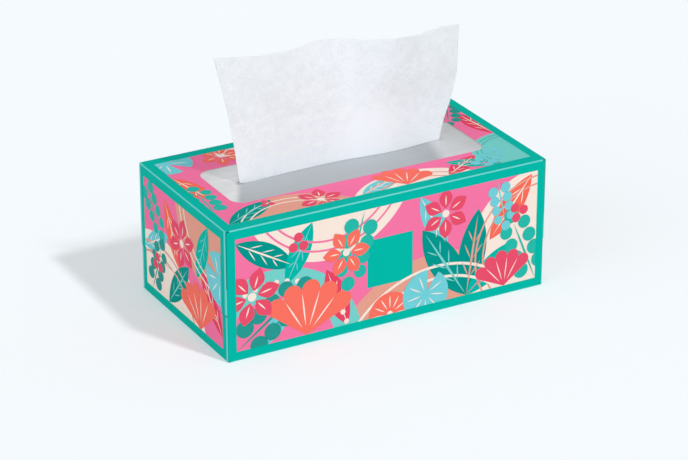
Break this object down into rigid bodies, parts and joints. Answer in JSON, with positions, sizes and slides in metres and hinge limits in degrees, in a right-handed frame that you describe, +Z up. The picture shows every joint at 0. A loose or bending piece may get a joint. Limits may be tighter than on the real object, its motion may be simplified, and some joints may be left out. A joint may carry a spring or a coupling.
{
  "type": "tissue box",
  "caption": "Flat printed card carton of facial tissues, with a long rounded opening, a slit film window and one tissue standing up through the slit.",
  "frame": {"origin": "middle of the carton's base", "axes": "+X along the carton's length to the right of its front, +Y to its back, +Z up"},
  "size_m": [0.2302, 0.1222, 0.17],
  "materials": {
    "printed_card": "teal print with a satin varnish outside, bare grey board inside",
    "clear_film": "thin milky film with faint wrinkles",
    "tissue_paper": "soft creped two-ply tissue",
    "ink_pink": "pink ink under a satin varnish",
    "ink_salmon": "salmon ink under a satin varnish",
    "ink_cream": "cream ink under a satin varnish",
    "ink_mint": "mint ink under a satin varnish",
    "ink_aqua": "aqua ink under a satin varnish",
    "ink_coral": "coral ink under a satin varnish",
    "ink_crimson": "crimson ink under a satin varnish",
    "ink_deep_green": "deep green ink under a satin varnish",
    "ink_teal": "teal ink under a satin varnish"
  },
  "bodies": {
    "root": {"carton": "printed_card", "film_window": "clear_film", "tissue_stack": "tissue_paper", "raised_tissue": "tissue_paper", "print_pink": "ink_pink", "print_salmon": "ink_salmon", "print_cream": "ink_cream", "print_mint": "ink_mint", "print_aqua": "ink_aqua", "print_coral": "ink_coral", "print_crimson": "ink_crimson", "print_deep_green": "ink_deep_green", "print_teal": "ink_teal"}
  },
  "joints": []
}
